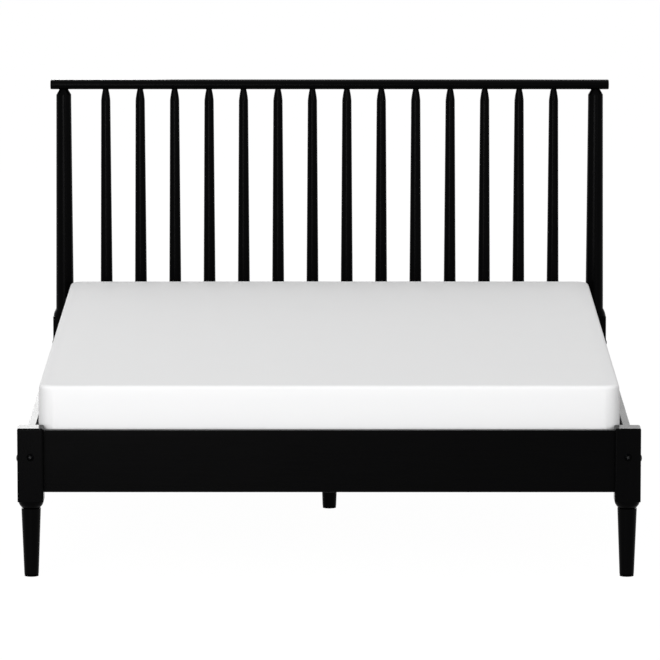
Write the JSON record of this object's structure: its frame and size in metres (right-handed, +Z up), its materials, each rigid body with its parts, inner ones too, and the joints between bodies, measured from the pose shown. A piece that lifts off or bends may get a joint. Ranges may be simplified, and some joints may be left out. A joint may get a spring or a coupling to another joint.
{
  "type": "spindle bed",
  "caption": "Wooden bed with a tall headboard of tapered spindles between turned posts, plain side and foot rails on turned legs, a slatted deck and a foam mattress that lifts off.",
  "frame": {"origin": "on the floor, under the middle of the bed", "axes": "+Y from the foot end to the head end, +X to the right as seen from the foot end, +Z up"},
  "size_m": [1.636, 2.156, 1.091],
  "materials": {
    "black_wood": "black satin paint over wood",
    "bare_wood": "planed softwood, unfinished",
    "steel": "zinc-plated steel",
    "black_plastic": "moulded black plastic",
    "mattress_cover": "plain white fabric cover over foam"
  },
  "bodies": {
    "frame": {"barrel_nuts": "steel", "beam_hanger_foot": "steel", "beam_hanger_head": "steel", "beam_insert": "steel", "bolt_caps": "black_plastic", "centre_beam": "bare_wood", "centre_leg": "black_wood", "centre_leg_bolt": "steel", "cleat_screws": "steel", "crest_rail": "black_wood", "cross_rail_bolts": "steel", "foot_post_left": "black_wood", "foot_post_right": "black_wood", "foot_rail": "black_wood", "glide_screws": "steel", "hanger_screws": "steel", "head_cross_rail": "black_wood", "head_post_left": "black_wood", "head_post_right": "black_wood", "leveller_insert": "steel", "post_glides": "black_plastic", "rail_dowels": "bare_wood", "side_cleat_left": "bare_wood", "side_cleat_right": "bare_wood", "side_rail_bolts": "steel", "side_rail_left": "black_wood", "side_rail_right": "black_wood", "slat_01": "bare_wood", "slat_02": "bare_wood", "slat_03": "bare_wood", "slat_04": "bare_wood", "slat_05": "bare_wood", "slat_06": "bare_wood", "slat_07": "bare_wood", "slat_08": "bare_wood", "slat_09": "bare_wood", "slat_10": "bare_wood", "slat_11": "bare_wood", "slat_12": "bare_wood", "slat_13": "bare_wood", "slat_screws": "steel", "spindle_01": "black_wood", "spindle_02": "black_wood", "spindle_03": "black_wood", "spindle_04": "black_wood", "spindle_05": "black_wood", "spindle_06": "black_wood", "spindle_07": "black_wood", "spindle_08": "black_wood", "spindle_09": "black_wood", "spindle_10": "black_wood", "spindle_11": "black_wood", "spindle_12": "black_wood", "spindle_13": "black_wood", "spindle_14": "black_wood"},
    "mattress": {"mattress": "mattress_cover"},
    "leveller_pad": {"leveller_pad": "black_plastic"},
    "leveller_stud": {"leveller_stud": "steel"}
  },
  "joints": [
    {"name": "mattress_lift", "type": "slide", "parent": "frame", "child": "mattress", "axis": [0, 0, 1], "range_m": [0, 0.35]},
    {"name": "leveller_slide", "type": "slide", "parent": "frame", "child": "leveller_pad", "axis": [0, 0, -1], "range_m": [0, 0.012]},
    {"name": "leveller_turn", "type": "hinge", "parent": "leveller_pad", "child": "leveller_stud", "pos_m": [0, 0, 0.02], "axis": [0, 0, -1], "range_deg": [0, 3460]}
  ],
  "couplings": [
    {"joint": "leveller_turn", "follows": "leveller_slide", "rad_per_m": 5026.5}
  ]
}
